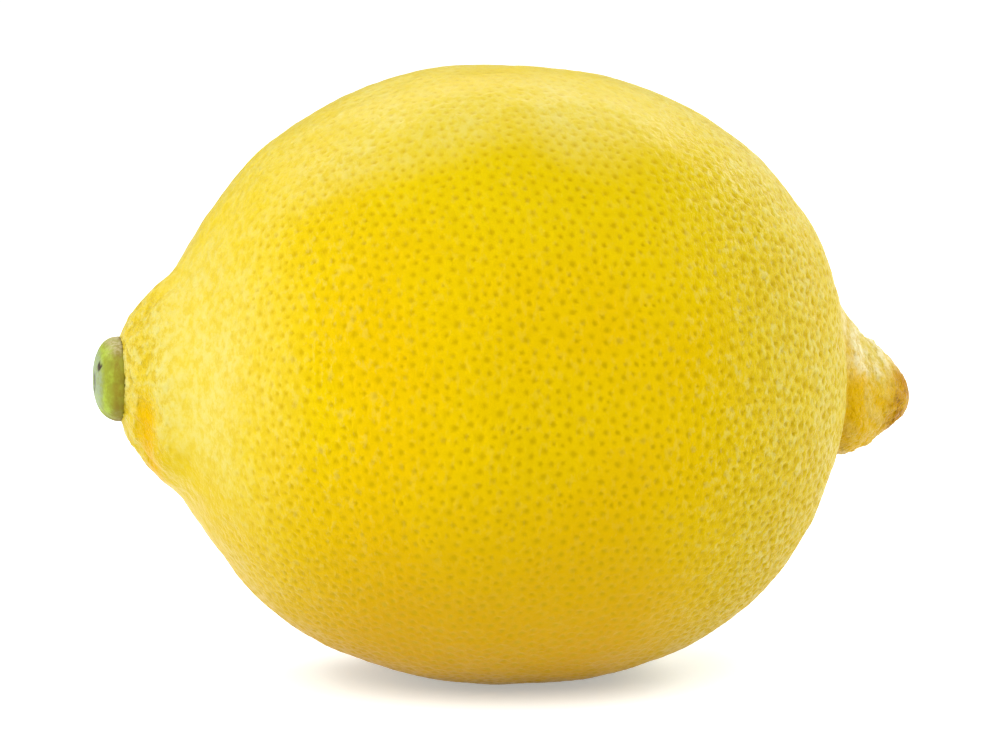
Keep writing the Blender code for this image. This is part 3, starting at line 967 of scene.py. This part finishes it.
@dataclass
class StemButton:
    """The calyx button: a low dome, faintly lobed, with the stalk's broken scar on its face."""

    axis: Axis
    finish: CalyxFinish = field(default_factory=CalyxFinish)
    radius: float = 4.15 * MM
    least_radius: float = 0.1 * MM
    back_x: float = -37.75 * MM
    rim_x: float = -38.48 * MM
    face_x: float = -41.04 * MM
    middle: Vector = field(default_factory=lambda: Vector((0, 0, 0.33)) * MM)
    sides: int = 132
    dome_steps: int = 30
    joined_within: float = 0.001 * MM
    dome_girth: float = 0.82
    dome_fullness: float = 0.92
    tuck: float = math.radians(62)
    lobes: int = 5
    lobe_swell: float = 0.08 * MM
    lobe_notch: float = 0.12 * MM
    notch_width: float = 0.55
    dents: Bumps = Bumps(0.12 * MM, 1.6 * MM)
    ribs: Bumps = Bumps(0.045 * MM, 1.0, 0.7, 2.2)
    ribs_round: float = 4.5
    rib_length: float = 2.5 * MM
    grown: Ramp = Ramp(0.4, 0.5)
    plain_back: float = 0.3 * MM
    scar_radius: float = 1.25 * MM
    scar_dip: Ramp = Ramp(scar_radius, -0.5 * MM, 0.38 * MM)
    scar_ring_at: float = 0.5
    scar_ring_width: float = 0.3
    scar_ring_rise: float = 0.5
    side: Ramp = Ramp(0.45, 0.35)
    face: Ramp = Ramp(0.34, -0.22)
    dry_top: Ramp = Ramp(0.55, 0.35)
    dry_off_face: Ramp = Ramp(0.25, 0.5)
    ragged: Bumps = Bumps(0.45 * MM, 0.7 * MM)
    middle_scar: Ramp = Ramp(0.85 * scar_radius, -0.3 * MM)
    edge_scar: Ramp = Ramp(0.52 * MM, -0.16 * MM)
    edge_scar_at: Vector = field(default_factory=lambda: Vector((-2.05, 1.5)) * MM)
    scar_on_face: Ramp = Ramp(0.6, -0.2)

    def _profile(self) -> list[tuple[float, float]]:
        """The turned outline as (along the axis, radius), from the back's middle to the face's."""
        back_radius = self.radius * math.cos(self.tuck)
        rows = [(self.back_x, back_radius * share) for share in (0.0, 0.5)]
        for step in range(self.dome_steps + 1):
            turn = -self.tuck + (math.pi / 2 + self.tuck) * step / self.dome_steps
            if turn > 0:
                half, girth, fullness = self.rim_x - self.face_x, self.dome_girth, self.dome_fullness
            else:
                half, girth, fullness = (self.back_x - self.rim_x) / math.sin(self.tuck), 1.0, 1.0
            radius = self.radius * max(0.0, math.cos(turn)) ** girth
            x = self.rim_x - half * math.copysign(abs(math.sin(turn)) ** fullness, turn)
            off_ring = radius - self.scar_ring_at * self.scar_radius
            ring = bump(off_ring, self.scar_ring_width * self.scar_radius)
            dip = self.scar_dip.at(radius) * (1 - self.scar_ring_rise * ring)
            rows.append((x + dip, radius if turn < math.pi / 2 else 0.0))
        return rows

    def _mark(self, bm: bmesh.types.BMesh) -> None:
        """Marks where the finish changes, on the plain dome."""
        side, face, top, scar = mark_layers(bm, Mark.SIDE, Mark.FACE, Mark.TOP, Mark.SCAR)
        for vert in bm.verts:
            radius = vert.co.yz.length
            upward = vert.co.z / max(radius, self.least_radius)
            thickness = (vert.co.x - self.face_x) / (self.rim_x - self.face_x)
            vert[side] = self.side.at(thickness)
            vert[face] = self.face.at(thickness)
            vert[top] = self.dry_top.at(upward) * self.dry_off_face.at(thickness)
            ragged = self.ragged.at(vert.co)
            off_edge_scar = (vert.co.yz - self.edge_scar_at).length
            broken = max(self.middle_scar.at(radius - ragged), self.edge_scar.at(off_edge_scar - ragged))
            vert[scar] = broken * self.scar_on_face.at(thickness)

    def _grow(self, vert: bmesh.types.BMVert) -> None:
        """Draws a point in or out: faint lobes, dents and the fine ribs that run down the side."""
        radius = vert.co.yz.length
        outer = self.grown.at(radius / self.radius)
        if outer == 0 or vert.co.x > self.rim_x + self.plain_back:
            return
        angle = math.atan2(vert.co.z, vert.co.y)
        notch = bump(math.remainder(self.lobes * angle - math.pi, math.tau), self.notch_width)
        swell = self.lobe_swell * math.cos(self.lobes * angle) - self.lobe_notch * notch
        swell += self.dents.at(vert.co)
        ribs = Vector((math.cos(angle), math.sin(angle), 0)) * self.ribs_round
        ribs.z = vert.co.x / self.rib_length
        swell += self.ribs.at(ribs)
        vert.co.yz *= 1 + outer * swell / radius

    def build(self) -> bpy.types.Object:
        """Makes the button, which stands for the frame's own.

        Returns:
            The finished piece.
        """
        bm = bmesh.new()
        verts = [bm.verts.new((x, radius, 0)) for x, radius in self._profile()]
        edges = [bm.edges.new(pair) for pair in zip(verts, verts[1:])]
        bmesh.ops.spin(
            bm,
            geom=verts + edges,
            cent=(0, 0, 0),
            axis=(1, 0, 0),
            angle=math.tau,
            steps=self.sides,
            use_merge=True,
        )
        bmesh.ops.remove_doubles(bm, verts=bm.verts[:], dist=self.joined_within)
        bmesh.ops.recalc_face_normals(bm, faces=bm.faces[:])
        self._mark(bm)
        place = self.axis.matrix()
        for vert in bm.verts:
            self._grow(vert)
            vert.co = place @ (vert.co + self.middle)
        piece = finished_piece("stem_calyx", bm, self.finish.material())
        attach(piece, "root")
        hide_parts("stem_button")
        return piece


@dataclass
class SoftBox:
    """A soft area light, aimed at the fruit."""

    name: str
    place: tuple[float, float, float]
    size: tuple[float, float]
    power: float

    def build(self, target: Vector) -> None:
        """Hangs the light, aimed at a target."""
        data = bpy.data.lights.new(self.name, "AREA")
        data.shape = "RECTANGLE"
        data.size, data.size_y = self.size
        data.energy = self.power
        light = bpy.data.objects.new(self.name, data)
        bpy.context.scene.collection.objects.link(light)
        light.location = target + Vector(self.place)
        light.rotation_euler = (-Vector(self.place)).to_track_quat("-Z", "Y").to_euler()


@dataclass
class Studio:
    """A white table in a light tent, and the camera."""

    target: Vector
    azimuth: float = math.radians(-11)
    elevation: float = math.radians(8)
    camera_distance: float = 0.450
    view_width: float = 0.1005
    sensor: float = 36.0
    near_limit: float = 0.01
    far_limit: float = 100.0
    floor_size: float = 12.0
    floor_squares: int = 8
    floor_roughness: float = 0.9
    floor_specular: float = 0.1
    floor_color: Color = (0.84, 0.85, 0.85)
    floor_glow: float = 0.37
    glow_color: Color = (0.76, 0.88, 1.0)
    world_strength: float = 0.30
    sky_strength: float = 2.42
    sky_softness: float = math.radians(52)
    sky_tilt: tuple[float, float, float] = (math.radians(38), math.radians(-12), 0.0)
    boxes: tuple[SoftBox, ...] = (
        SoftBox("left_box", (-0.62, -0.10, 0.30), (0.36, 0.64), 3.8),
        SoftBox("right_box", (0.60, -0.06, 0.26), (0.10, 0.52), 2.2),
        SoftBox("back_box", (-0.05, 0.55, 0.56), (1.00, 0.22), 3.4),
        SoftBox("right_back_box", (0.50, 0.40, 0.32), (0.40, 0.36), 2.3),
    )

    def _floor(self) -> None:
        """Lays the pale floor, which isn't part of the object."""
        bm = bmesh.new()
        squares = self.floor_squares
        bmesh.ops.create_grid(bm, x_segments=squares, y_segments=squares, size=self.floor_size / 2)
        nodes = Nodes("table")
        nodes.dress({
            "Base Color": self.floor_color,
            "Roughness": self.floor_roughness,
            "Specular IOR Level": self.floor_specular,
            "Emission Color": self.glow_color,
            "Emission Strength": self.floor_glow,
        })
        finished_piece("table", bm, nodes.material)

    def _sky(self) -> None:
        """Sets the even light of the tent and the broad light from above."""
        world = bpy.data.worlds.new("tent")
        bpy.context.scene.world = world
        world.use_nodes = True
        background = world.node_tree.nodes["Background"]
        background.inputs["Color"].default_value = (1.0, 1.0, 1.0, 1.0)
        background.inputs["Strength"].default_value = self.world_strength
        data = bpy.data.lights.new("overhead", "SUN")
        data.energy = self.sky_strength
        data.angle = self.sky_softness
        light = bpy.data.objects.new("overhead", data)
        bpy.context.scene.collection.objects.link(light)
        light.rotation_euler = self.sky_tilt

    def _camera(self) -> None:
        """Sets up the camera, level with the fruit's middle and looking slightly down."""
        cos_up = math.cos(self.elevation)
        across, towards = math.sin(self.azimuth) * cos_up, -math.cos(self.azimuth) * cos_up
        back = Vector((across, towards, math.sin(self.elevation)))
        data = bpy.data.cameras.new("camera")
        data.sensor_width = self.sensor
        data.lens = self.sensor * self.camera_distance / self.view_width
        data.clip_start = self.near_limit
        data.clip_end = self.far_limit
        camera = bpy.data.objects.new("camera", data)
        bpy.context.scene.collection.objects.link(camera)
        camera.location = self.target + back * self.camera_distance
        camera.rotation_euler = (-back).to_track_quat("-Z", "Y").to_euler()
        bpy.context.scene.camera = camera

    def build(self) -> None:
        """Sets up the whole studio."""
        bpy.context.scene.view_settings.view_transform = "Standard"
        self._floor()
        self._sky()
        self._camera()
        for box in self.boxes:
            box.build(self.target)


def main() -> None:
    """Builds the lemon and its studio, and reports each piece."""
    logging.basicConfig(level=logging.INFO, format="%(name)s: %(message)s")
    relief = Relief()
    axis = Axis()
    pieces = [Rind(Outline(), relief, Marking(relief), axis).build(), StemButton(axis).build()]
    for piece in pieces:
        log.info("%s: %d faces", piece.name, len(piece.data.polygons))
    Studio(target=axis.matrix().translation + AIM_SHIFT).build()


if __name__ == "__main__":
    main()
